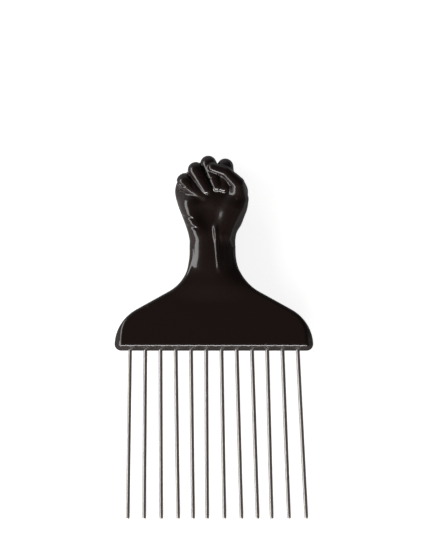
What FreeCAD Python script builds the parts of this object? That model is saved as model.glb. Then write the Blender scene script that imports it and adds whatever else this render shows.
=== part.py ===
import FreeCAD
import Part
import math
import os
from collections import namedtuple
from FreeCAD import Vector

# Afro pick: a moulded handle shaped as a raised fist, with a row of steel tines pressed into its foot.
# Sizes are in millimetres and angles in degrees. While it is modelled, the origin is the middle of the
# foot's straight edge, +X runs along that edge, +Y points up the wrist to the fist, and +Z points out
# of the palm side. At the end the part is moved once, to stand on its lowest point.

# Foot: the flared plate that carries the tines
FOOT_MARGIN = 7.24
FOOT_THICKNESS = 6.4
FOOT_CORNER = 3.1
SHOULDER_SLOPE = 29.0
SHOULDER_RADIUS = 19.5
SHOULDER_HEIGHT = 1.8
NECK_RADIUS = 20.0
EDGE_BEVEL = 2.9

# Wrist, and the tongue that runs from it down into the faces of the foot
WRIST_WIDTH = 20.6
WRIST_DEPTH = 13.6
WRIST_LENGTH = 6.3
WRIST_OVERLAP = 0.2
TONGUE_LENGTH = 22.0
TONGUE_WIDTH = 28.0
TONGUE_SINK = 0.5
TONGUE_STEPS = (0.0, 0.3, 0.65, 1.0)

# Palm: its largest sizes, and sections across it as shares of its height, half width and half depth
PALM_HEIGHT = 31.0
PALM_WIDTH = 33.0
PALM_DEPTH = 17.6
Section = namedtuple("Section", "rise width depth shift")
PALM = (
    Section(0.032, 0.642, 0.784, -0.036),
    Section(0.210, 0.727, 0.860, -0.073),
    Section(0.387, 0.867, 0.940, -0.085),
    Section(0.565, 0.982, 1.000, -0.067),
    Section(0.710, 1.000, 0.980, -0.067),
    Section(0.855, 0.885, 0.920, -0.085),
    Section(1.000, 0.582, 0.750, -0.085),
)
SIDE_ROUNDNESS = 0.45
FLAT_TOLERANCE = 1e-6

# Fingers: the bent knuckle's place as shares of the palm's half width and height, the angle of the fan,
# and how thick and how long each is beside the middle finger. Each starts from the head of its bone,
# in the back of the palm.
Finger = namedtuple("Finger", "across rise fan girth length")
FINGERS = (
    Finger(0.309, 1.050, -6.0, 1.0, 0.868),
    Finger(-0.127, 1.090, 13.0, 1.0, 1.0),
    Finger(-0.491, 1.002, 30.0, 0.95, 0.906),
    Finger(-0.782, 0.830, 56.0, 1.08, 0.925),
)
HEAD_RADIUS = 4.2
FINGER_RADIUS = 3.7
FINGER_TIP_RADIUS = 3.0
FINGER_RUN = 10.6
FINGER_FRONT = 8.2
FINGER_BACK = 5.4
FINGER_TUCK = 6.0
KNUCKLE_DROP = 2.2
TIP_DROP = 1.0

# Thumb, and the two mounds at the heel of the palm: joints as shares of the palm's half width, height
# and half depth, and radii at both ends
Joint = namedtuple("Joint", "across rise front")
THUMB = (
    Joint(0.364, 0.290, -0.053),
    Joint(0.685, 0.677, 0.700),
    Joint(0.436, 0.940, 1.110),
    Joint(0.000, 1.000, 1.150),
)
THUMB_ROOT_RADIUS = 4.8
THUMB_RADIUS = 4.0
THUMB_TIP_RADIUS = 2.6
THUMB_MOUND = (Joint(0.240, 0.110, 0.330), Joint(0.500, 0.480, 0.480))
THUMB_MOUND_RADIUS = 5.4
LITTLE_MOUND = (Joint(-0.360, 0.110, 0.300), Joint(-0.560, 0.500, 0.430))
LITTLE_MOUND_RADIUS = 5.0
MOUND_SWELL = 1.15

# Tines: round wire with a bevelled point, seated in blind sockets, each with the slight lean it has in use
TINE_COUNT = 12
TINE_PITCH = 6.92
TINE_DIAMETER = 1.8
TINE_REACH = 76.4
TINE_POINT = 0.9
TINE_POINT_RADIUS = 0.45
TINE_SEAT = 11.0
SOCKET_CLEARANCE = 0.02
TINE_LEANS = (-0.8, -0.4, 0.2, 0.8, 0.7, 0.3, 1.0, 1.6, 1.9, 1.5, 2.2, 2.9)

# Sizes that follow from those above
FOOT_WIDTH = (TINE_COUNT - 1) * TINE_PITCH + 2.0 * FOOT_MARGIN
SLOPE = math.radians(SHOULDER_SLOPE)
SLOPE_NORMAL = Vector(math.sin(SLOPE), math.cos(SLOPE), 0)
SLOPE_UPHILL = Vector(-math.cos(SLOPE), math.sin(SLOPE), 0)

# The shoulder's straight run is what the two bends leave of the way from the foot's end to the wrist
BEND_SPREAD = (SHOULDER_RADIUS + NECK_RADIUS) * (1.0 - math.sin(SLOPE))
STRAIGHT_RUN = ((FOOT_WIDTH - WRIST_WIDTH) / 2.0 - BEND_SPREAD) / math.cos(SLOPE)
SHOULDER_CENTRE = Vector(FOOT_WIDTH / 2.0 - SHOULDER_RADIUS, SHOULDER_HEIGHT, 0)
STRAIGHT_LOW = SHOULDER_CENTRE + SLOPE_NORMAL * SHOULDER_RADIUS
STRAIGHT_HIGH = STRAIGHT_LOW + SLOPE_UPHILL * STRAIGHT_RUN
NECK_CENTRE = STRAIGHT_HIGH + SLOPE_NORMAL * NECK_RADIUS
NECK_Y = NECK_CENTRE.y
WRIST_TOP = NECK_Y + WRIST_LENGTH
HALF_PALM = PALM_WIDTH / 2.0


def arc(centre, radius, from_angle, to_angle):
    return Part.makeCircle(radius, centre, Vector(0, 0, 1), from_angle, to_angle)


def foot_outline():
    """The bell outline: lines and arcs, each tangent to the next, mirrored about the middle."""
    corner_drop = FOOT_CORNER - SHOULDER_HEIGHT
    corner_reach = math.sqrt((SHOULDER_RADIUS - FOOT_CORNER) ** 2 - corner_drop ** 2)
    corner_centre = SHOULDER_CENTRE + Vector(corner_reach, corner_drop, 0)
    corner_angle = math.degrees(math.atan2(corner_drop, corner_reach))
    normal_angle = 90.0 - SHOULDER_SLOPE
    low = corner_centre - Vector(0, FOOT_CORNER, 0)
    neck = NECK_CENTRE - Vector(NECK_RADIUS, 0, 0)
    top = neck + Vector(0, WRIST_LENGTH / 2.0, 0)
    half = [
        arc(corner_centre, FOOT_CORNER, -90.0, corner_angle),
        arc(SHOULDER_CENTRE, SHOULDER_RADIUS, corner_angle, normal_angle),
        Part.makeLine(STRAIGHT_LOW, STRAIGHT_HIGH),
        arc(NECK_CENTRE, NECK_RADIUS, 180.0, 180.0 + normal_angle),
        Part.makeLine(neck, top),
    ]
    other_half = [edge.mirror(Vector(0, 0, 0), Vector(1, 0, 0)) for edge in half]
    top_edge = Part.makeLine(top, Vector(-top.x, top.y, 0))
    straight_edge = Part.makeLine(Vector(-low.x, 0, 0), low)
    return Part.Wire(Part.__sortEdges__(half + other_half + [top_edge, straight_edge]))


def foot():
    """The plate, bevelled round its outline on both faces, with its neck run up into the wrist."""
    plate = Part.Face(foot_outline()).extrude(Vector(0, 0, FOOT_THICKNESS))
    plate.translate(Vector(0, 0, -FOOT_THICKNESS / 2.0))
    top_y = plate.BoundBox.YMax
    rim = []
    for edge in plate.Edges:
        middle = edge.CenterOfMass
        on_a_face = abs(abs(middle.z) - FOOT_THICKNESS / 2.0) < FLAT_TOLERANCE
        if on_a_face and middle.y < top_y - FLAT_TOLERANCE:
            rim.append(edge)
    return plate.makeChamfer(EDGE_BEVEL, rim)


def hand_section(y, half_width, half_depth, shift):
    """An oval across the hand: four tangent arcs, flatter over the palm and back, tighter at the sides."""
    tightest = half_depth * half_depth / half_width
    side_radius = tightest + (half_depth - tightest) * SIDE_ROUNDNESS
    side_centre = half_width - side_radius
    spare = half_depth - side_radius
    face_centre = (side_centre ** 2 - spare ** 2) / (2.0 * spare)
    face_radius = half_depth + face_centre
    meeting = math.atan2(side_centre, face_centre)
    x = face_radius * math.sin(meeting)
    z = face_radius * math.cos(meeting) - face_centre

    def at(across, out):
        return Vector(shift + across, y, out)

    return Part.Wire([
        Part.Arc(at(x, -z), at(half_width, 0), at(x, z)).toShape(),
        Part.Arc(at(x, z), at(0, half_depth), at(-x, z)).toShape(),
        Part.Arc(at(-x, z), at(-half_width, 0), at(-x, -z)).toShape(),
        Part.Arc(at(-x, -z), at(0, -half_depth), at(x, -z)).toShape(),
    ])


def wrist_and_palm():
    """One loft from inside the foot, up the wrist, to the heads of the knuckles."""
    buried = FOOT_THICKNESS / 2.0 - TONGUE_SINK
    half_wrist = WRIST_WIDTH / 2.0 + WRIST_OVERLAP
    sections = []
    for part in TONGUE_STEPS:
        flare = (1.0 - part) ** 2
        swell = part * part * (3.0 - 2.0 * part)
        half_width = half_wrist + (TONGUE_WIDTH / 2.0 - half_wrist) * flare
        half_depth = buried + (WRIST_DEPTH / 2.0 - buried) * swell
        y = NECK_Y - TONGUE_LENGTH * (1.0 - part)
        sections.append(hand_section(y, half_width, half_depth, 0.0))
    for s in PALM:
        y = WRIST_TOP + s.rise * PALM_HEIGHT
        half_depth = s.depth * PALM_DEPTH / 2.0
        sections.append(hand_section(y, s.width * HALF_PALM, half_depth, s.shift * HALF_PALM))
    return Part.makeLoft(sections, True, True)


def tapered_run(start, stop, start_radius, stop_radius):
    """A straight length of a digit, turned from its half profile."""
    along = stop - start
    side = along.cross(Vector(1, 1, 1)).normalize()
    profile = [start, start + side * start_radius, stop + side * stop_radius, stop, start]
    return Part.Face(Part.makePolygon(profile)).revolve(start, along, 360)


def knuckle(before, corner, after, radius):
    """The outside of a bend: a slice of a ball, swung from the end of one run to the start of the next."""
    arriving = (corner - before).normalize()
    leaving = (after - corner).normalize()
    axis = arriving.cross(leaving).normalize()
    outward = arriving.cross(axis)
    arc = Part.Arc(corner - axis * radius, corner + outward * radius, corner + axis * radius).toShape()
    chord = Part.makeLine(corner + axis * radius, corner - axis * radius)
    half_disc = Part.Face(Part.Wire([arc, chord]))
    return half_disc.revolve(corner, axis, math.degrees(arriving.getAngle(leaving)))


def digit(points, radii):
    """A finger, a thumb or a mound: tapered runs joined by knuckles, with a half ball on each end."""
    lengths = []
    for start, stop, start_radius, stop_radius in zip(points, points[1:], radii, radii[1:]):
        lengths.append(tapered_run(start, stop, start_radius, stop_radius))
    for before, corner, after, radius in zip(points, points[1:], points[2:], radii[1:]):
        lengths.append(knuckle(before, corner, after, radius))
    root = Part.makeSphere(radii[0], points[0], points[0] - points[1], 0, 90, 360)
    tip = Part.makeSphere(radii[-1], points[-1], points[-1] - points[-2], 0, 90, 360)
    return root.fuse(lengths + [tip])


def folded_finger(f):
    """A finger from the head of its bone, over two bent knuckles and down into the palm again."""
    fan = math.radians(f.fan)
    up = Vector(-math.sin(fan), math.cos(fan), 0)
    out = Vector(0, 0, 1)
    middle = Vector(f.across * HALF_PALM, WRIST_TOP + f.rise * PALM_HEIGHT, 0)
    run = f.length * FINGER_RUN
    points = [
        middle - up * KNUCKLE_DROP - out * FINGER_BACK,
        middle + out * FINGER_FRONT,
        middle - up * run + out * FINGER_FRONT,
        middle - up * (run + TIP_DROP) + out * (FINGER_FRONT - FINGER_TUCK),
    ]
    radii = [HEAD_RADIUS, FINGER_RADIUS, FINGER_TIP_RADIUS, FINGER_TIP_RADIUS]
    return digit(points, [f.girth * radius for radius in radii])


def palm_point(j):
    """A joint's place, from its shares of the palm's half width, height and half depth."""
    return Vector(j.across * HALF_PALM, WRIST_TOP + j.rise * PALM_HEIGHT, j.front * PALM_DEPTH / 2.0)


def thumb():
    """The thumb, from its root in the heel of the palm, across the front of the folded fingers."""
    radii = [THUMB_ROOT_RADIUS, THUMB_RADIUS, THUMB_TIP_RADIUS, THUMB_TIP_RADIUS]
    return digit([palm_point(j) for j in THUMB], radii)


def heel_mounds():
    """The two mounds that stand out at the heel of the palm, below the thumb and the little finger."""
    thumb_side = [palm_point(j) for j in THUMB_MOUND]
    little_side = [palm_point(j) for j in LITTLE_MOUND]
    return [
        digit(thumb_side, [THUMB_MOUND_RADIUS, THUMB_MOUND_RADIUS * MOUND_SWELL]),
        digit(little_side, [LITTLE_MOUND_RADIUS, LITTLE_MOUND_RADIUS * MOUND_SWELL]),
    ]


def tine_lean(index):
    """A tine's lean in radians, read along the row so that the row may gain or lose tines."""
    place = index * (len(TINE_LEANS) - 1.0) / max(1, TINE_COUNT - 1)
    low = min(int(place), len(TINE_LEANS) - 2)
    lean = TINE_LEANS[low] + (TINE_LEANS[low + 1] - TINE_LEANS[low]) * (place - low)
    return math.radians(lean)


def tine_axis(index):
    """Where a tine leaves the foot's straight edge, and which way it points."""
    lean = tine_lean(index)
    root = Vector((index - (TINE_COUNT - 1) / 2.0) * TINE_PITCH, 0, 0)
    return root, Vector(math.sin(lean), -math.cos(lean), 0)


def tine(index):
    """A straight wire from the floor of its socket to its blunt, bevelled point."""
    root, down = tine_axis(index)
    side = Vector(-down.y, down.x, 0)
    radius = TINE_DIAMETER / 2.0
    end = root + down * TINE_REACH
    shoulder = end - down * TINE_POINT
    seat = root - down * TINE_SEAT
    point = end + side * TINE_POINT_RADIUS
    profile = [seat, seat + side * radius, shoulder + side * radius, point, end, seat]
    return Part.Face(Part.makePolygon(profile)).revolve(seat, down, 360)


def socket(index):
    """The blind hole that a tine is pressed into, cut from just outside the foot's edge."""
    root, down = tine_axis(index)
    mouth = root + down * EDGE_BEVEL
    radius = TINE_DIAMETER / 2.0 + SOCKET_CLEARANCE
    return Part.makeCylinder(radius, TINE_SEAT + EDGE_BEVEL, mouth, down * -1.0)


def handle():
    """Foot, wrist, palm, fingers and thumb as one moulding, with a socket for each tine."""
    hand = wrist_and_palm()
    for limb in heel_mounds() + [folded_finger(finger) for finger in FINGERS] + [thumb(), foot()]:
        hand = hand.fuse(limb)
    return hand.cut([socket(index) for index in range(TINE_COUNT)])


def main():
    os.makedirs("parts", exist_ok=True)
    pieces = {"handle": handle()}
    for index in range(TINE_COUNT):
        pieces["tine_%02d" % (index + 1)] = tine(index)
    box = Part.makeCompound(list(pieces.values())).optimalBoundingBox(False, False)
    stand = Vector(-box.Center.x, -box.Center.y, -box.ZMin)
    for name, piece in pieces.items():
        piece.translate(stand)
        piece.exportStep("parts/%s.step" % name)
    print("moved by %.3f %.3f %.3f" % (stand.x, stand.y, stand.z))
    print("size %.2f x %.2f x %.2f mm" % (box.XLength, box.YLength, box.ZLength))
    moulding = pieces["handle"]
    print("handle solids %d, valid %s, %.0f mm3" % (len(moulding.Solids), moulding.isValid(), moulding.Volume))


main()
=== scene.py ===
# %% [markdown]
# An afro pick is a wide comb for tightly curled hair. This one has a glossy black handle, moulded as a
# raised fist on a flared foot, and twelve steel wires pressed into the foot's straight edge.
#
# The packed model gives the place and size of each piece. It is loaded first and never moved, and what
# is made below is fitted to it.

# %% Load the packed model
import math

import bpy
import numpy as np
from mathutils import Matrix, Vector


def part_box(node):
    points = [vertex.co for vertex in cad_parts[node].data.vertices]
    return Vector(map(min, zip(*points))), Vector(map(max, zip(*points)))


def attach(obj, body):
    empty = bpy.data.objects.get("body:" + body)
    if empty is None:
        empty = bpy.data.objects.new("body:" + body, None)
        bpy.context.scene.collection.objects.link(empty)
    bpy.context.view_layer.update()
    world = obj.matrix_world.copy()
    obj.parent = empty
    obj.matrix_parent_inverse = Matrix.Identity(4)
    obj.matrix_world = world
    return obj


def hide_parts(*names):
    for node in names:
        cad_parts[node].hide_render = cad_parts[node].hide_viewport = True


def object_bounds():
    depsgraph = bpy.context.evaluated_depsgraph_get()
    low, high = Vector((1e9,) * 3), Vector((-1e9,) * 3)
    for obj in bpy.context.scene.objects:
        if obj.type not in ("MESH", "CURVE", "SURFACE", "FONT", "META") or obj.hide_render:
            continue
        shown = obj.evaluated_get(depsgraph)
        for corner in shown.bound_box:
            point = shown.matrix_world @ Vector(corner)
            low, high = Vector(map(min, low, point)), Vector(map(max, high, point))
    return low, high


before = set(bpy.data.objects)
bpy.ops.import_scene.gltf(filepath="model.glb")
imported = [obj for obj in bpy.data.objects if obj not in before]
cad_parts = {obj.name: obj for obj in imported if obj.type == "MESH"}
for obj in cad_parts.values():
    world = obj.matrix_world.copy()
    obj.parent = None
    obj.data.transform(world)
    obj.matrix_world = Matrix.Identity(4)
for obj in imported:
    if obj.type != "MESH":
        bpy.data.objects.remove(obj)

cad_low, cad_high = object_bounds()
handle_low, handle_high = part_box("handle")
wire_low, wire_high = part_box("tine_01")
TINES = sorted(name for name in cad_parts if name.startswith("tine_"))
print("nodes", len(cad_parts), "of them tines", len(TINES))

# %% [markdown]
# A hand is easiest to describe from the middle of the foot's straight edge, so the shapes below use that
# point as their origin: x along the edge, y up the wrist, z out of the palm, in millimetres. The origin
# comes from the packed pieces: the handle's lowest y is the edge, and the wires lie at mid-thickness.

# %% The drawing's origin
MM = 0.001
ORIGIN = Vector((0.0, handle_low.y, (wire_low.z + wire_high.z) / 2.0))


def to_scene(points):
    """Drawing millimetres to scene metres."""
    return np.asarray(points, float) * MM + np.array(ORIGIN)


def to_drawing(point):
    """Scene metres to drawing millimetres."""
    return (np.array(point) - np.array(ORIGIN)) / MM


print("origin of the drawing", [round(v, 5) for v in ORIGIN])

# %% [markdown]
# The photograph looks straight down on the pick. A long lens from a metre away gives that flat look.
# Blender fits the sensor's width to the longer side of a picture, here its height, so the lens follows
# from how many millimetres the picture is high. The Standard view shows colours as they are written.

# %% Camera
VIEW_CENTRE = (0.5, 37.4)
VIEW_HEIGHT = 243.7
CAMERA_HEIGHT = 1000.0
SENSOR_WIDTH = 36.0
NEAREST_SEEN = 0.05


def put_in_scene(name, data):
    """A new object in the scene that shows some data: a mesh, a lamp or a camera."""
    thing = bpy.data.objects.new(name, data)
    bpy.context.scene.collection.objects.link(thing)
    return thing


camera_data = bpy.data.cameras.new("camera")
camera_data.sensor_width = SENSOR_WIDTH
camera_data.lens = SENSOR_WIDTH * CAMERA_HEIGHT / VIEW_HEIGHT
camera_data.clip_start = NEAREST_SEEN
camera = put_in_scene("camera", camera_data)
camera.location = to_scene((*VIEW_CENTRE, CAMERA_HEIGHT))
bpy.context.scene.camera = camera
bpy.context.scene.view_settings.view_transform = "Standard"
print("lens %.1f mm" % camera_data.lens)

# %% [markdown]
# The pick lies on its back: the knuckles and the tips of the wires rest on the table, and the foot hangs
# just above it. A level floor would leave the tips in the air, and the pick itself stays where it is, so
# the floor leans by the few degrees that bring it up to both.

# %% Floor
FLOOR_SIZE = 4.0
FLOOR_GAP = 0.1 * MM


def packed_points(node):
    """The points of a packed node's mesh, in scene metres."""
    return np.array([v.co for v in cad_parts[node].data.vertices])


handle_shape = packed_points("handle")
knuckle = handle_shape[handle_shape[:, 2].argmin()]
floor_lean = math.atan2(wire_low.z - knuckle[2], knuckle[1] - cad_low.y)

half = FLOOR_SIZE / 2.0
floor_corners = [(-half, -half, 0), (half, -half, 0), (half, half, 0), (-half, half, 0)]
floor_mesh = bpy.data.meshes.new("floor")
floor_mesh.from_pydata(floor_corners, [], [(0, 1, 2, 3)])
floor = put_in_scene("floor", floor_mesh)
floor.location = (0.0, knuckle[1], knuckle[2] - FLOOR_GAP)
floor.rotation_euler = (-floor_lean, 0.0, 0.0)
print("floor leans %.2f degrees" % math.degrees(floor_lean))

# %% [markdown]
# A material is a tree of nodes, and so is the light of the room. Nodes can be wired by hand in the shader
# editor. In a script the same few moves come back in every finish, so they get short names here: add a
# node, join two sockets, do a sum, move one span of values onto another, and read noise at a place.

# %% Node helpers


class Nodes:
    """Short ways to put nodes into one node tree."""

    def __init__(self, tree):
        self.tree = tree

    def add(self, kind, **settings):
        """A new node. A setting goes to the input of that name, or else to the node itself."""
        node = self.tree.nodes.new(kind)
        for name, value in settings.items():
            if name in node.inputs:
                node.inputs[name].default_value = value
            else:
                setattr(node, name, value)
        return node

    def join(self, source, target):
        """A link from an output to an input."""
        self.tree.links.new(source, target)

    def reckon(self, operation, *terms):
        """The result of a sum. Each term is a number or the output of another node."""
        node = self.add("ShaderNodeMath", operation=operation)
        for socket, term in zip(node.inputs, terms):
            if isinstance(term, bpy.types.NodeSocket):
                self.join(term, socket)
            else:
                socket.default_value = term
        return node.outputs[0]

    def remap(self, source, old, new=(0.0, 1.0)):
        """A value whose span old is moved onto the span new, and held at its ends."""
        node = self.add("ShaderNodeMapRange")
        for name, value in zip(("From Min", "From Max", "To Min", "To Max"), (*old, *new)):
            node.inputs[name].default_value = value
        self.join(source, node.inputs["Value"])
        return node.outputs["Result"]

    def noise(self, place, **settings):
        """Noise between 0 and 1, read at a place."""
        node = self.add("ShaderNodeTexNoise", **settings)
        self.join(place, node.inputs["Vector"])
        return node.outputs["Fac"]


def start_material(name):
    """A new material, the inputs of its shader, and the helpers for its nodes."""
    material = bpy.data.materials.new(name)
    material.use_nodes = True
    shader = material.node_tree.nodes["Principled BSDF"]
    return material, shader.inputs, Nodes(material.node_tree)


print("node helpers:", [name for name in vars(Nodes) if not name.startswith("_")])

# %% [markdown]
# The background is white paper. To light paper up to white would take so much light that the black
# plastic turned grey. So the paper is written as a pale grey that takes shadows, and it glows as well:
# strongly to the camera, and a little in reflections, so that the gloss shows paper too.

# %% White paper
PAPER_COLOUR = (0.60, 0.59, 0.58, 1.0)
PAPER_ROUGHNESS = 0.9
PAPER_SHINE = 0.1
PAPER_GLOW = 0.87
GLOSS_GLOW = 0.10

paper, finish, nodes = start_material("white_paper")
finish["Base Color"].default_value = PAPER_COLOUR
finish["Roughness"].default_value = PAPER_ROUGHNESS
finish["Specular IOR Level"].default_value = PAPER_SHINE
rays = nodes.add("ShaderNodeLightPath").outputs
seen = nodes.reckon("MAXIMUM", rays["Is Camera Ray"], rays["Is Transmission Ray"])
seen_glow = nodes.reckon("MULTIPLY", seen, PAPER_GLOW)
glow = nodes.reckon("MULTIPLY_ADD", rays["Is Glossy Ray"], GLOSS_GLOW, seen_glow)
nodes.join(glow, finish["Emission Strength"])
floor_mesh.materials.append(paper)
print("paper glows %.2f to the camera and %.2f in gloss" % (PAPER_GLOW, GLOSS_GLOW))

# %% [markdown]
# Glossy black shows little colour of its own. What it shows is the room: a long soft window low on the
# left, drawn as streaks down the wrist and the fingers, and a strip below that catches the bevel of the
# foot. Small lamps would show as hard dots, so both lamps are big, low and to the sides.

# %% Lamps
AIM = (0.0, 0.03, 0.01)
WINDOW = {"place": (-0.80, -0.15, 0.39), "width": 1.5, "height": 0.38, "brightness": 5.0}
STRIP = {"place": (-0.15, -0.90, 0.28), "width": 0.8, "height": 0.22, "brightness": 16.0}


def softbox(name, place, width, height, brightness):
    """A rectangular lamp. Its power follows its area, so its size doesn't change how bright it looks."""
    data = bpy.data.lights.new(name, "AREA")
    data.shape = "RECTANGLE"
    data.size = width
    data.size_y = height
    data.energy = brightness * math.pi * width * height
    lamp = put_in_scene(name, data)
    lamp.location = place
    lamp.rotation_euler = (Vector(AIM) - Vector(place)).to_track_quat("-Z", "Y").to_euler()
    print("%s, %.2f by %.2f m, %.1f watts" % (name, width, height, data.energy))


softbox("window_left", **WINDOW)
softbox("strip_below", **STRIP)

# %% [markdown]
# The rest of the room is the world. A picture of a studio could be wrapped round the scene, but two
# ramps are enough: the room is pale near the horizon and dark overhead, which keeps the flat faces black,
# and it is darker away from the window, which gives each wire a dark side.

# %% Room
WHITE = (1.0, 1.0, 1.0, 1.0)
HORIZON = 0.50
ZENITH = 0.05
NEAR_SIDE = 1.0
FAR_SIDE = 0.20
UPWARD_SPAN = (0.25, 0.85)
SIDEWAYS_SPAN = (0.0, 0.7)

world = bpy.data.worlds.new("studio")
world.use_nodes = True
bpy.context.scene.world = world
nodes = Nodes(world.node_tree)
direction = nodes.add("ShaderNodeSeparateXYZ")
nodes.join(nodes.add("ShaderNodeTexCoord").outputs["Generated"], direction.inputs["Vector"])
upward = nodes.remap(direction.outputs["Z"], UPWARD_SPAN, (HORIZON, ZENITH))
sideways = nodes.remap(direction.outputs["X"], SIDEWAYS_SPAN, (NEAR_SIDE, FAR_SIDE))
shade = nodes.reckon("MULTIPLY", upward, sideways)

# The camera itself sees white behind the floor
camera_ray = nodes.add("ShaderNodeLightPath").outputs["Is Camera Ray"]
background = world.node_tree.nodes["Background"].inputs
background["Color"].default_value = WHITE
nodes.join(nodes.reckon("MAXIMUM", shade, camera_ray), background["Strength"])
print("room %.2f at the horizon, %.2f overhead" % (HORIZON, ZENITH))

# %% [markdown]
# The handle is one moulding in which a plate, a wrist and a hand flow into each other. It could be
# sculpted by hand, or joined from parts with a remesh. Here it is a formula: each form gives the distance
# from a point to its surface, and a soft minimum melts two forms together over a chosen width. Fingers
# keep sharp creases with a narrow width, and the wrist runs into the foot with a wide one.

# %% Soft joins
SAMPLE_WIDTH = 2.0


def melt(a, b, width):
    """The union of two forms, rounded where they meet."""
    near = np.maximum(width - np.abs(a - b), 0.0) / width
    return np.minimum(a, b) - near * near * width / 4.0


def meet(a, b, width):
    """The part that two forms share, with its edge rounded."""
    return -melt(-a, -b, width)


print("a join %.1f mm wide adds %.2f mm in the crease" % (SAMPLE_WIDTH, -melt(0.0, 0.0, SAMPLE_WIDTH)))

# %% [markdown]
# The foot is a flat plate with the outline of a bell: a straight edge, a tight corner, a round shoulder,
# a straight slope and a hollow neck, each tangent to the next. Its two halves mirror, so only one is
# drawn. Working out where the arcs touch takes a few lines more than a list of points, and it keeps the
# outline smooth when a radius changes.

# %% Foot outline
FOOT_HALF_WIDTH = (handle_high.x - handle_low.x) / 2.0 / MM
FOOT_CORNER = 3.1
SHOULDER_RADIUS = 19.5
SHOULDER_HEIGHT = 1.8
SHOULDER_SLOPE = math.radians(29.0)
NECK_RADIUS = 20.0
NECK_OVERLAP = 3.0
WRIST_HALF_WIDTH = 10.3
ARC_STEPS = 24


def arc(centre, radius, start, stop):
    """Points along an arc, from one angle to another."""
    angles = np.linspace(start, stop, ARC_STEPS)
    return [(centre[0] + radius * math.cos(a), centre[1] + radius * math.sin(a)) for a in angles]


def half_bell():
    """Half of the foot's outline, and the height where its neck ends.

    It is closed far beyond the middle, so that no side of it lies on the mirror line.
    """
    shoulder = (FOOT_HALF_WIDTH - SHOULDER_RADIUS, SHOULDER_HEIGHT)
    drop = FOOT_CORNER - SHOULDER_HEIGHT
    reach = math.sqrt((SHOULDER_RADIUS - FOOT_CORNER) ** 2 - drop ** 2)
    corner = (shoulder[0] + reach, FOOT_CORNER)
    corner_angle = math.atan2(drop, reach)
    normal_angle = math.pi / 2.0 - SHOULDER_SLOPE
    both = SHOULDER_RADIUS + NECK_RADIUS
    spread = both * (1.0 - math.sin(SHOULDER_SLOPE))
    run = (FOOT_HALF_WIDTH - WRIST_HALF_WIDTH - spread) / math.cos(SHOULDER_SLOPE)
    neck = (
        shoulder[0] + both * math.sin(SHOULDER_SLOPE) - run * math.cos(SHOULDER_SLOPE),
        shoulder[1] + both * math.cos(SHOULDER_SLOPE) + run * math.sin(SHOULDER_SLOPE),
    )
    beyond = -FOOT_HALF_WIDTH
    top = neck[1] + NECK_OVERLAP
    outline = [(beyond, 0.0)]
    outline += arc(corner, FOOT_CORNER, -math.pi / 2.0, corner_angle)
    outline += arc(shoulder, SHOULDER_RADIUS, corner_angle, normal_angle)[1:]
    outline += arc(neck, NECK_RADIUS, math.pi + normal_angle, math.pi)
    outline += [(WRIST_HALF_WIDTH, top), (beyond, top)]
    return outline, neck[1]


BELL, NECK_Y = half_bell()
print("bell outline of %d points, neck at %.1f mm" % (len(BELL), NECK_Y))

# %% Distance to the outline
FAR_AWAY = 1e9
SHORTEST = 1e-12
FOOT_MIDDLE = (0.0, 15.0)


def bell_distance(x, y):
    """Signed distance in the plane to the bell outline, below zero inside it."""
    x = np.abs(x)
    nearest = np.full(np.broadcast(x, y).shape, FAR_AWAY)
    inside = np.zeros(nearest.shape, bool)
    for (ax, ay), (bx, by) in zip(BELL, BELL[1:] + BELL[:1]):
        ex, ey = bx - ax, by - ay
        along = np.clip(((x - ax) * ex + (y - ay) * ey) / (ex * ex + ey * ey + SHORTEST), 0.0, 1.0)
        gap = (x - ax - ex * along) ** 2 + (y - ay - ey * along) ** 2
        nearest = np.minimum(nearest, gap)
        if ay != by:
            crosses = ((ay > y) != (by > y)) & (x < ex * (y - ay) / ey + ax)
            inside ^= crosses
    return np.where(inside, -1.0, 1.0) * np.sqrt(nearest)


print("the foot's middle lies %.1f mm inside the outline" % -bell_distance(*FOOT_MIDDLE))

# %% [markdown]
# On both faces a bevel at 45 degrees runs round the foot and leaves a narrow wall at mid-thickness. It is
# wide along the straight edge, where the wires come out, and soon grows narrow along the shoulders. A
# bevel modifier keeps one width, so here the bevel is a third surface that cuts off the corner between
# face and rim. Its ridge on the front is not quite even: small waves in its rounding break the highlight.

# %% Foot form
FOOT_THICKNESS = 6.4
EDGE_BEVEL = 2.9
SHOULDER_BEVEL = 0.9
BEVEL_FADE = (3.5, 16.0)
BEVEL_CORNER = 1.2
BEVEL_SLANT = math.sqrt(0.5)
CORNER_TOP = 12.0
EDGE_ROUNDING = 0.6
ROUNDING_WAVES = ((0.14, 1.3, 0.4), (0.16, 2.9, 0.0), (0.16, 5.3, 1.0))
WAVES_FADE = (4.0, 8.0)
FRONT_SIDE = (0.0, 1.0)
NECK_INSET = 0.4
INSET_RISE = (35.0, 44.0)
WRIST_SHIFT = -0.6
SHIFT_RISE = (28.0, 46.0)
PROBE = np.linspace(-15.0, 15.0, 3001)


def ease(value, span):
    """Rises smoothly from 0 to 1 over a span."""
    t = np.clip((value - span[0]) / (span[1] - span[0]), 0.0, 1.0)
    return t * t * (3.0 - 2.0 * t)


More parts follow.
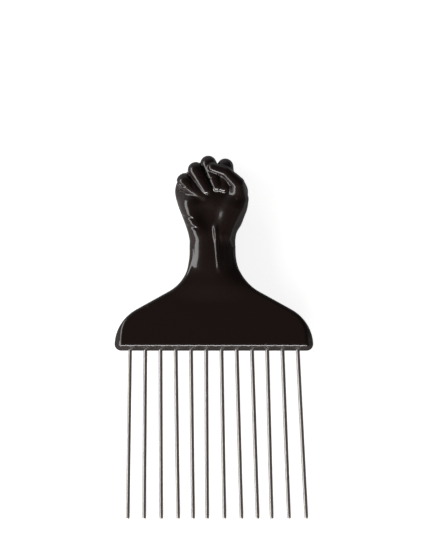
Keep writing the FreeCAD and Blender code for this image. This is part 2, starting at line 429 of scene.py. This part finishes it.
def foot(x, y, z):
    """The bevelled plate."""
    rim = bell_distance(x - WRIST_SHIFT * ease(y, SHIFT_RISE), y) + NECK_INSET * ease(y, INSET_RISE)
    face = np.abs(z) - FOOT_THICKNESS / 2.0
    width = EDGE_BEVEL + (SHOULDER_BEVEL - EDGE_BEVEL) * ease(y, BEVEL_FADE)
    beside = np.maximum(np.abs(x) - FOOT_HALF_WIDTH + SHOULDER_RADIUS, 0.0)
    shoulder = np.hypot(beside, y - SHOULDER_HEIGHT) - SHOULDER_RADIUS
    ridge = np.where(y < CORNER_TOP, meet(-y, shoulder, BEVEL_CORNER), rim)
    bevel = (np.maximum(ridge, rim) + face + width) * BEVEL_SLANT
    waves = sum(size * np.sin(pace * x + start) for size, pace, start in ROUNDING_WAVES)
    rounding = EDGE_ROUNDING + waves * (1.0 - ease(y, WAVES_FADE)) * ease(z, FRONT_SIDE)
    return meet(meet(face, bevel, rounding), rim, EDGE_ROUNDING)


def thickness(form, x, y):
    """How thick a form is at one place, felt from front to back with a probe."""
    return np.ptp(PROBE[form(x, y, PROBE) < 0.0])


print("foot %.1f mm thick" % thickness(foot, *FOOT_MIDDLE))

# %% [markdown]
# The wrist and the palm are one oval tube. Its half width, half depth and sideways shift are given at a
# few heights, and a smooth curve runs through them. A loft of rings would give the same tube, but only a
# formula can be melted with the foot and the fingers. The lowest rows are thinner than the foot, so the
# wrist rises out of the plate as a tongue.

# %% Wrist and palm
# Height, half width, half depth, sideways shift
ARM_ROWS = np.array([
    (22.0, 14.0, 1.6, -0.1),
    (27.0, 12.9, 3.0, -0.3),
    (31.0, 12.1, 4.4, -0.4),
    (35.0, 11.4, 5.7, -0.5),
    (39.0, 11.0, 6.4, -0.6),
    (43.0, 10.5, 6.75, -0.6),
    (48.0, 10.4, 6.85, -0.65),
    (53.0, 10.5, 6.9, -0.65),
    (57.8, 11.8, 7.3, -0.85),
    (63.3, 14.0, 8.0, -0.95),
    (68.8, 16.1, 8.5, -1.0),
    (73.3, 16.5, 8.3, -1.1),
    (77.8, 14.6, 7.6, -1.4),
    (82.3, 10.2, 6.6, -1.4),
    (86.0, 7.0, 5.6, -1.4),
])


def smooth_rows(y, rows, column):
    """A curve through one column of a table, without a kink at any row."""
    heights, values = rows[:, 0], rows[:, column]
    slopes = np.gradient(values, heights)
    y = np.clip(y, heights[0], heights[-1])
    low = np.clip(np.searchsorted(heights, y) - 1, 0, len(heights) - 2)
    step = heights[low + 1] - heights[low]
    t = (y - heights[low]) / step
    start = (1 + 2 * t) * (1 - t) ** 2 * values[low] + t * (1 - t) ** 2 * step * slopes[low]
    stop = t * t * (3 - 2 * t) * values[low + 1] - t * t * (1 - t) * step * slopes[low + 1]
    return start + stop


print("palm %.1f mm wide and %.1f mm deep" % tuple(2.0 * ARM_ROWS[:, 1:3].max(0)))

# %% Oval tube
ARM_TOP = 83.5
TOP_ROUNDING = 5.0
TONGUE_ROUNDING = 1.0
TINY = 1e-9
WRIST_MIDDLE = (0.0, 48.0)


def arm(x, y, z):
    """The oval tube of the wrist and palm, closed at both ends."""
    half_width = smooth_rows(y, ARM_ROWS, 1)
    half_depth = smooth_rows(y, ARM_ROWS, 2)
    across = (x - smooth_rows(y, ARM_ROWS, 3)) / half_width
    out = z / half_depth
    size = np.sqrt(across ** 2 + out ** 2)
    slope = np.sqrt((across / half_width) ** 2 + (out / half_depth) ** 2) + TINY
    tube = size * (size - 1.0) / slope
    tongue_end = ARM_ROWS[0, 0] - y
    return meet(meet(tube, y - ARM_TOP, TOP_ROUNDING), tongue_end, TONGUE_ROUNDING)


print("wrist %.1f mm thick" % thickness(arm, *WRIST_MIDDLE))

# %% [markdown]
# Fingers, thumb and the mounds of the palm are chains of tapered capsules: a centre line through the
# joints, with a radius at each. Blender's skin modifier makes such chains too, but it gives a mesh, and
# these have to stay formulas until they are melted together. A finger starts from its bone inside the
# palm, turns forward at the knuckle, turns down at the middle joint and tucks its tip into the palm.

# %% Chains of capsules


def capsules(x, y, z, joints, radii):
    """Distance to a chain of tapered capsules."""
    nearest = None
    for start, stop, start_radius, stop_radius in zip(joints, joints[1:], radii, radii[1:]):
        ax, ay, az = np.subtract(stop, start)
        px, py, pz = x - start[0], y - start[1], z - start[2]
        t = np.clip((px * ax + py * ay + pz * az) / (ax * ax + ay * ay + az * az), 0.0, 1.0)
        gap = np.sqrt((px - ax * t) ** 2 + (py - ay * t) ** 2 + (pz - az * t) ** 2)
        gap = gap - (start_radius + (stop_radius - start_radius) * t)
        nearest = gap if nearest is None else np.minimum(nearest, gap)
    return nearest


SAMPLE_BONE = ((0.0, 0.0, 0.0), (10.0, 0.0, 0.0))
SAMPLE_RADII = (3.0, 2.0)
sample_gap = capsules(5.0, 6.0, 0.0, SAMPLE_BONE, SAMPLE_RADII)
print("6 mm beside the middle of a bone that tapers from 3 to 2 mm: %.1f mm off its skin" % sample_gap)

# %% Fingers
# Where the middle joint stands (across, up, out), the angle of the fan, the girth, the run down the front
FINGERS = {
    "index": (5.1, 83.3, 6.9, -4.0, 1.0, 9.0),
    "middle": (-2.5, 84.55, 7.3, 22.0, 1.0, 10.4),
    "ring": (-8.2, 81.8, 8.0, 30.0, 0.97, 9.8),
    "little": (-12.9, 76.5, 6.4, 54.0, 1.08, 9.6),
}
FINGER_RADII = (3.6, 4.2, 3.7, 3.1, 3.0)
FINGER_BACK = 5.4
FINGER_TUCK = 5.0
KNUCKLE_DROP = 2.2
TIP_DROP = 1.0
BONE_HEIGHT = 62.2
BONE_INWARD = 0.35


def finger_joints(across, height, front, fan, run):
    """The five joints of a folded finger, from the bone in the palm to the tip."""
    up = np.array((-math.sin(math.radians(fan)), math.cos(math.radians(fan)), 0.0))
    out = np.array((0.0, 0.0, 1.0))
    middle = np.array((across, height, 0.0))
    return [
        np.array((across * BONE_INWARD, BONE_HEIGHT, 0.0)),
        middle - up * KNUCKLE_DROP - out * FINGER_BACK,
        middle + out * front,
        middle - up * run + out * front,
        middle - up * (run + TIP_DROP) + out * (front - FINGER_TUCK),
    ]


def chain_length(joints):
    """Length of the line through the joints of a chain."""
    return sum(np.linalg.norm(np.subtract(b, a)) for a, b in zip(joints, joints[1:]))


finger_chains = []
for name, (across, height, front, fan, girth, run) in FINGERS.items():
    joints = finger_joints(across, height, front, fan, run)
    finger_chains.append((joints, [girth * radius for radius in FINGER_RADII]))
    print("%s finger, %.1f mm along its bones" % (name, chain_length(joints)))

# %% [markdown]
# The thumb lies across the front of the fingers. Its root swells out of the palm and melts into it with a
# wide join, and its outer bones keep a crease. Two mounds at the heel of the hand and a ball that hollows
# the palm between them give the palm its relief. They could be sculpted, but a few lines of sizes are
# easier to change.

# %% Thumb, mounds and hollow
THUMB_JOINTS = (
    (8.0, 60.0, 0.5),
    (11.2, 69.0, 5.0),
    (10.7, 75.6, 8.9),
    (5.2, 81.0, 10.2),
    (-0.8, 82.9, 10.6),
)
THUMB_RADII = (4.8, 4.3, 3.1, 2.4, 2.0)
THUMB_MOUND = ((4.2, 54.7, 2.7), (8.4, 65.5, 4.0))
THUMB_MOUND_RADII = (5.2, 6.2)
LITTLE_MOUND = ((-6.2, 54.7, 2.4), (-9.6, 66.0, 3.6))
LITTLE_MOUND_RADII = (4.8, 5.6)
PALM_HOLLOW = (-3.4, 60.6, 14.75)
PALM_HOLLOW_RADIUS = 8.1


def palm_hollow(x, y, z):
    """Distance to the ball that is cut out of the palm."""
    px, py, pz = PALM_HOLLOW
    return np.sqrt((x - px) ** 2 + (y - py) ** 2 + (z - pz) ** 2) - PALM_HOLLOW_RADIUS


print("thumb, %.1f mm along its bones" % chain_length(THUMB_JOINTS))

# %% [markdown]
# Skin has lines that run across a form rather than round it: two tendons down the wrist, folds beside the
# little finger, creases across the heel of the hand. A bump in the material would vanish at the outline,
# so they are shape: strokes seen from the front, each with a width and a height, added to the distance on
# the palm side. A height below zero cuts a crease.

# %% Tendons and creases
# Start, stop, width, height
STROKES = {
    "long_tendon": ((0.3, 58.5), (2.5, 34.5), 1.0, 0.8),
    "short_tendon": ((3.5, 55.0), (4.3, 38.0), 0.9, 0.28),
    "upper_heel_crease": ((-15.5, 61.5), (-8.5, 59.5), 0.55, -0.45),
    "lower_heel_crease": ((-13.5, 57.2), (-6.5, 55.2), 0.55, -0.45),
    "little_finger_upper_fold": ((-17.5, 77.0), (-12.8, 73.9), 0.34, -0.4),
    "little_finger_middle_fold": ((-17.8, 75.4), (-12.9, 72.5), 0.34, -0.4),
    "little_finger_lower_fold": ((-17.8, 73.6), (-13.6, 71.4), 0.34, -0.4),
    "ring_finger_crease": ((-6.8, 79.0), (-3.4, 77.6), 0.4, -0.3),
    "middle_finger_crease": ((-2.2, 77.6), (2.2, 78.6), 0.4, -0.3),
    "little_finger_crease": ((-10.6, 77.0), (-9.0, 72.9), 0.4, -0.3),
}
STROKE_FADE = (0.65, 1.0)
PALM_SIDE = (0.5, 3.0)


def stroke_height(x, y, z):
    """How far the strokes raise the skin at a point, only on the palm side."""
    height = 0.0
    for (ax, ay), (bx, by), width, tall in STROKES.values():
        ex, ey = bx - ax, by - ay
        along = np.clip(((x - ax) * ex + (y - ay) * ey) / (ex * ex + ey * ey), 0.0, 1.0)
        gap = (x - ax - ex * along) ** 2 + (y - ay - ey * along) ** 2
        fade = 1.0 - ease(np.abs(2.0 * along - 1.0), STROKE_FADE)
        height = height + tall * fade * np.exp(-gap / (width * width))
    return height * ease(z, PALM_SIDE)


raised = [name for name, stroke in STROKES.items() if stroke[-1] > 0.0]
print("strokes that rise:", raised, "and %d that cut" % (len(STROKES) - len(raised)))

# %% [markdown]
# Now the forms are put together in the order in which they lie: the palm with its mounds and hollow, the
# thumb's root, the fingers, and the thumb on top. The hand then runs into the foot. On the two faces of
# the plate that join is wide and soft, and at the outline it is narrow, so that the neck keeps its curve.

# %% Handle form
MOUND_MELT = 3.0
HOLLOW_MELT = 2.5
ROOT_MELT = 2.5
FINGER_MELT = 0.5
PALM_MELT = 0.8
THUMB_MELT = 0.5
SIDE_MELT = 1.0
FOOT_MELT = 6.0
FACE_SIDE = (0.8, 3.4)
TONGUE_RISE = (19.0, 30.0)
TONGUE_FADE = (29.0, 40.0)


def fist(x, y, z):
    """Wrist, palm, mounds, fingers and thumb."""
    hand = arm(x, y, z)
    hand = melt(hand, capsules(x, y, z, THUMB_MOUND, THUMB_MOUND_RADII), MOUND_MELT)
    hand = melt(hand, capsules(x, y, z, LITTLE_MOUND, LITTLE_MOUND_RADII), MOUND_MELT)
    hand = meet(hand, -palm_hollow(x, y, z), HOLLOW_MELT)
    hand = melt(hand, capsules(x, y, z, THUMB_JOINTS[:3], THUMB_RADII[:3]), ROOT_MELT)
    fingers = None
    for joints, radii in finger_chains:
        finger = capsules(x, y, z, joints, radii)
        fingers = finger if fingers is None else melt(fingers, finger, FINGER_MELT)
    hand = melt(hand, fingers, PALM_MELT)
    hand = melt(hand, capsules(x, y, z, THUMB_JOINTS[1:], THUMB_RADII[1:]), THUMB_MELT)
    return hand - stroke_height(x, y, z)


def handle_form(x, y, z):
    """The whole moulding: the fist on its foot."""
    fading = ease(np.abs(z), FACE_SIDE) * ease(y, TONGUE_RISE) * (1.0 - ease(y, TONGUE_FADE))
    spread = SIDE_MELT + (FOOT_MELT - SIDE_MELT) * fading
    return melt(fist(x, y, z), foot(x, y, z), spread)


print("wrist %.1f mm thick with its tendons" % thickness(handle_form, *WRIST_MIDDLE))

# %% [markdown]
# To become a mesh, the formula is read on a grid of small cells. A cell with a corner inside and a corner
# outside gets one point, and neighbouring cells join their points into four-sided faces. Blender's own
# way would be metaballs or a voxel remesh. Neither knows the formula, and here it also says where the
# exact surface is: the points are pulled onto it along its slope, so flat faces come out flat.

# %% Read the form on a grid
CELL = 0.42
MARGIN = 2.0

box_low = to_drawing(handle_low)
box_high = to_drawing(handle_high)
axes = [np.arange(low - MARGIN, high + MARGIN, CELL) for low, high in zip(box_low, box_high)]
grid = handle_form(axes[0][:, None, None], axes[1][None, :, None], axes[2][None, None, :])
inside = grid < 0.0
print("grid of %d by %d by %d points, %.0f%% inside" % (*grid.shape, 100.0 * inside.mean()))

# %% Cells that the surface crosses
CORNERS = np.array([(i >> 2 & 1, i >> 1 & 1, i & 1) for i in range(8)])
CORNER_BITS = (1, 2, 4)

cell_counts = np.array(grid.shape) - 1
corners_inside = np.zeros(cell_counts, int)
for corner in CORNERS:
    stop = corner + cell_counts
    corners_inside += inside[corner[0]:stop[0], corner[1]:stop[1], corner[2]:stop[2]]
cells = np.argwhere((corners_inside > 0) & (corners_inside < len(CORNERS)))
print("%d cells are crossed" % len(cells))

# %% One point in each cell


def cell_points():
    """For each crossed cell, the mean of the places where the surface cuts its edges, counted in cells."""
    values = [grid[tuple((cells + corner).T)] for corner in CORNERS]
    total = np.zeros((len(cells), 3))
    weight = np.zeros((len(cells), 1))
    for i in range(len(CORNERS)):
        for j in (i | bit for bit in CORNER_BITS if not i & bit):
            crosses = (values[i] < 0) != (values[j] < 0)
            share = (values[i] / np.where(crosses, values[i] - values[j], 1.0))[:, None]
            place = CORNERS[i] + (CORNERS[j] - CORNERS[i]) * share
            total += np.where(crosses[:, None], place, 0.0)
            weight += crosses[:, None]
    return cells + total / weight


grid_start = np.array([axis[0] for axis in axes])
net_points = grid_start + cell_points() * CELL
print("net of %d points" % len(net_points))

# %% Faces between the cells


def cell_faces():
    """Four-sided faces, one round each edge of the grid that goes from inside to outside."""
    number = np.full(cell_counts, -1)
    number[tuple(cells.T)] = np.arange(len(cells))
    step = np.eye(3, dtype=int)
    quads = []
    for axis in range(3):
        u, v = (axis + 1) % 3, (axis + 2) % 3
        first = np.take(inside, range(cell_counts[axis]), axis)
        second = np.take(inside, range(1, cell_counts[axis] + 1), axis)
        edges = np.argwhere(first != second)
        across = edges[:, [u, v]]
        edges = edges[((across > 0) & (across < cell_counts[[u, v]])).all(1)]
        ring = [edges - step[u] - step[v], edges - step[v], edges, edges - step[u]]
        faces = np.stack([number[tuple(cell.T)] for cell in ring], axis=1)
        outward = first[tuple(edges.T)]
        quads.append(np.where(outward[:, None], faces, faces[:, ::-1]))
    return np.concatenate(quads)


handle_faces = cell_faces()
print("net of %d faces" % len(handle_faces))

# %% Pull the points onto the surface
NUDGE = 0.01
LEAST_STEEPNESS = 0.2
PULL_ROUNDS = 2


def pull_onto(form, points, reach):
    """Moves points along the form's slope towards its surface, by at most reach each round."""
    for _ in range(PULL_ROUNDS):
        x, y, z = points.T
        value = form(x, y, z)
        slope = np.stack([
            form(x + NUDGE, y, z) - form(x - NUDGE, y, z),
            form(x, y + NUDGE, z) - form(x, y - NUDGE, z),
            form(x, y, z + NUDGE) - form(x, y, z - NUDGE),
        ], axis=1) / (2.0 * NUDGE)
        steep = np.maximum((slope ** 2).sum(1), LEAST_STEEPNESS)
        move = slope * (value / steep)[:, None]
        length = np.sqrt((move ** 2).sum(1))[:, None]
        points = points - move * np.minimum(1.0, reach / np.maximum(length, TINY))
    return points


handle_points = pull_onto(handle_form, net_points, CELL / 2.0)
handle_points = np.clip(handle_points, box_low, box_high)
for label, points in (("net", net_points), ("pulled net", handle_points)):
    print("%s, mean distance to the surface %.4f mm" % (label, np.abs(handle_form(*points.T)).mean()))

# %% Handle piece


def mesh_piece(name, points, faces, material_slot, *nodes):
    """A smooth mesh in the frame that rides on the pick and stands for CAD nodes."""
    mesh = bpy.data.meshes.new(name)
    mesh.from_pydata(points.tolist(), [], faces)
    mesh.validate()
    mesh.shade_smooth()
    piece = put_in_scene(name, mesh)
    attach(piece, "root")
    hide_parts(*nodes)
    return piece


handle_mesh = (to_scene(handle_points), handle_faces.tolist())
fist_handle = mesh_piece("fist_handle", *handle_mesh, "black_plastic", "handle")
print("handle of %d points and %d faces" % (len(handle_points), len(handle_faces)))

# %% [markdown]
# The plastic is black all through, a little warm, and comes from a polished mould. Its gloss is almost a
# mirror, but handling leaves a slight haze and a few hairlines. They could be painted on a map. Noise
# needs no unwrapped surface: a soft one makes the haze, and one that is squeezed into long thin lines and
# turned makes the hairlines. Both go to the roughness.

# %% Black plastic
HAZE = {"Scale": 90.0, "Detail": 4.0}
HAZE_ROUGHNESS = (0.08, 0.18)
HAIRLINE_TURN = math.radians(35.0)
HAIRLINE_STRETCH = (2200.0, 45.0, 2200.0)
HAIRLINE_SPAN = (0.66, 0.72)
HAIRLINE_ROUGHNESS = (0.0, 0.05)
NOISE_SPAN = (0.0, 1.0)

plastic, finish, nodes = start_material("black_plastic")
place = nodes.add("ShaderNodeTexCoord").outputs["Object"]
haze = nodes.remap(nodes.noise(place, **HAZE), NOISE_SPAN, HAZE_ROUGHNESS)
turn = nodes.add("ShaderNodeMapping", Rotation=(0.0, 0.0, HAIRLINE_TURN), Scale=HAIRLINE_STRETCH)
nodes.join(place, turn.inputs["Vector"])
hairline = nodes.noise(turn.outputs["Vector"], Scale=1.0, Detail=1.0)
hairline = nodes.remap(hairline, HAIRLINE_SPAN, HAIRLINE_ROUGHNESS)
scuffed = nodes.reckon("ADD", haze, hairline)
print("plastic roughness from %.2f to %.2f" % HAZE_ROUGHNESS)

# %% [markdown]
# Where the sharp edges have rubbed, the plastic is dull and slightly paler. Blender's pointiness finds
# those edges, and noise breaks them into patches, so no edge has to be painted by hand.

# %% Rubbed edges
EDGE_POINTINESS = (0.525, 0.56)
PATCHES = {"Scale": 420.0, "Detail": 2.0}
PATCH_SPAN = (0.47, 0.56)
RUBBED_ROUGHNESS = 0.25
BLACK = (0.0132, 0.0074, 0.0060, 1.0)
RUBBED_BLACK = (0.020, 0.014, 0.0125, 1.0)

pointiness = nodes.add("ShaderNodeNewGeometry").outputs["Pointiness"]
sharp = nodes.remap(pointiness, EDGE_POINTINESS)
patches = nodes.remap(nodes.noise(place, **PATCHES), PATCH_SPAN)
rubbed = nodes.reckon("MULTIPLY", sharp, patches)
dulled = nodes.reckon("MULTIPLY_ADD", rubbed, RUBBED_ROUGHNESS, scuffed)
nodes.join(dulled, finish["Roughness"])

tone = nodes.add("ShaderNodeValToRGB")
tone.color_ramp.elements[0].color = BLACK
tone.color_ramp.elements[1].color = RUBBED_BLACK
nodes.join(rubbed, tone.inputs["Fac"])
nodes.join(tone.outputs["Color"], finish["Base Color"])
print("rubbed edges are %.2f rougher" % RUBBED_ROUGHNESS)

# %% [markdown]
# The skin of a moulding shrinks a little as it cools, which leaves a faint orange-peel in the gloss. It
# is far finer than the mesh, so it is a bump in the material and not a shape.

# %% Moulded skin
PEEL = {"Scale": 420.0, "Detail": 2.0}
PEEL_BUMP = {"Strength": 0.35, "Distance": 0.04 * MM}

peel_bump = nodes.add("ShaderNodeBump", **PEEL_BUMP)
nodes.join(nodes.noise(place, **PEEL), peel_bump.inputs["Height"])
nodes.join(peel_bump.outputs["Normal"], finish["Normal"])
fist_handle.data.materials.append(plastic)
print("plastic with %d nodes" % len(plastic.node_tree.nodes))

# %% [markdown]
# A tine is hard-drawn steel wire with a rounded tip. A plain cylinder would do from far away, but the tip
# is what fingers and scalp feel, so each wire is turned from a profile that ends in a dome. Its line is
# read from the packed node: the middle of its seat and the middle of its point.

# %% Wire profile
WIRE_RADIUS = (wire_high.z - wire_low.z) / 2.0
WIRE_RINGS = (0.0, 0.13, 0.3, 0.5, 0.7, 0.85, 0.95)
DOME_STEPS = 6
TIP_RADIUS = 1e-6
END_SLICE = 0.2 * MM


def wire_line(name):
    """The two ends of a packed wire's axis, in scene metres."""
    points = packed_points(name)
    order = points[:, 1]
    seat = points[order > order.max() - END_SLICE]
    point = points[order < order.min() + END_SLICE]
    return (seat.min(0) + seat.max(0)) / 2.0, (point.min(0) + point.max(0)) / 2.0


def wire_profile(length):
    """Distance along the wire and radius, from the seat to the middle of the domed tip."""
    rows = [(length * part, WIRE_RADIUS) for part in WIRE_RINGS]
    for step in range(DOME_STEPS + 1):
        angle = math.pi / 2.0 * step / DOME_STEPS
        along = length - WIRE_RADIUS + WIRE_RADIUS * math.sin(angle)
        rows.append((along, max(WIRE_RADIUS * math.cos(angle), TIP_RADIUS)))
    return rows


wire_ends = {node: wire_line(node) for node in TINES}
lengths = [np.linalg.norm(point - seat) / MM for seat, point in wire_ends.values()]
print("wires from %.1f to %.1f mm long" % (min(lengths), max(lengths)))

# %% Tines
WIRE_SIDES = 28
OUT_OF_PALM = (0.0, 0.0, 1.0)


def turned(start, stop, rows):
    """A profile turned about the line from start to stop: points and faces."""
    along = (stop - start) / np.linalg.norm(stop - start)
    side = np.cross(along, OUT_OF_PALM)
    side /= np.linalg.norm(side)
    up = np.cross(side, along)
    points = []
    for distance, radius in rows:
        for k in range(WIRE_SIDES):
            angle = 2.0 * math.pi * k / WIRE_SIDES
            spoke = side * math.cos(angle) + up * math.sin(angle)
            points.append(start + along * distance + spoke * radius)
    faces = [list(range(WIRE_SIDES))]
    for row in range(len(rows) - 1):
        for k in range(WIRE_SIDES):
            a, b = row * WIRE_SIDES + k, row * WIRE_SIDES + (k + 1) % WIRE_SIDES
            faces.append([b, a, a + WIRE_SIDES, b + WIRE_SIDES])
    faces.append([len(points) - 1 - k for k in range(WIRE_SIDES)])
    return np.array(points), faces


wires = []
for number, (node, (seat, point)) in enumerate(wire_ends.items(), start=1):
    points, faces = turned(seat, point, wire_profile(np.linalg.norm(point - seat)))
    wires.append(mesh_piece("steel_tine_%02d" % number, points, faces, "tine_steel", node))
print("%d wires of %.2f mm" % (len(wires), 2.0 * WIRE_RADIUS / MM))

# %% [markdown]
# Drawing the wire through a die leaves fine lines along it, and a slightly warm grey. Anisotropic gloss
# would hint at the lines. Noise that is stretched along the wire shows them: it gives both the lines in
# the height and the slight changes of the polish.

# %% Drawn steel
STEEL_COLOUR = (0.42, 0.393, 0.375, 1.0)
LINE_STRETCH = (2600.0, 60.0, 2600.0)
STEEL_ROUGHNESS = (0.38, 0.50)
LINE_BUMP = {"Strength": 0.2, "Distance": 0.01 * MM}

steel, finish, nodes = start_material("drawn_steel")
place = nodes.add("ShaderNodeTexCoord").outputs["Object"]
stretch = nodes.add("ShaderNodeMapping", Scale=LINE_STRETCH)
nodes.join(place, stretch.inputs["Vector"])
lines = nodes.noise(stretch.outputs["Vector"], Scale=1.0, Detail=3.0)
nodes.join(nodes.remap(lines, NOISE_SPAN, STEEL_ROUGHNESS), finish["Roughness"])
line_bump = nodes.add("ShaderNodeBump", **LINE_BUMP)
nodes.join(lines, line_bump.inputs["Height"])
nodes.join(line_bump.outputs["Normal"], finish["Normal"])
finish["Base Color"].default_value = STEEL_COLOUR
finish["Metallic"].default_value = 1.0
for wire in wires:
    wire.data.materials.append(steel)
print("steel roughness from %.2f to %.2f" % STEEL_ROUGHNESS)

# %% [markdown]
# Last, the box of the packed model is printed.

# %% Packed box
print("packed box", [round(v, 5) for v in (*cad_low, *cad_high)])
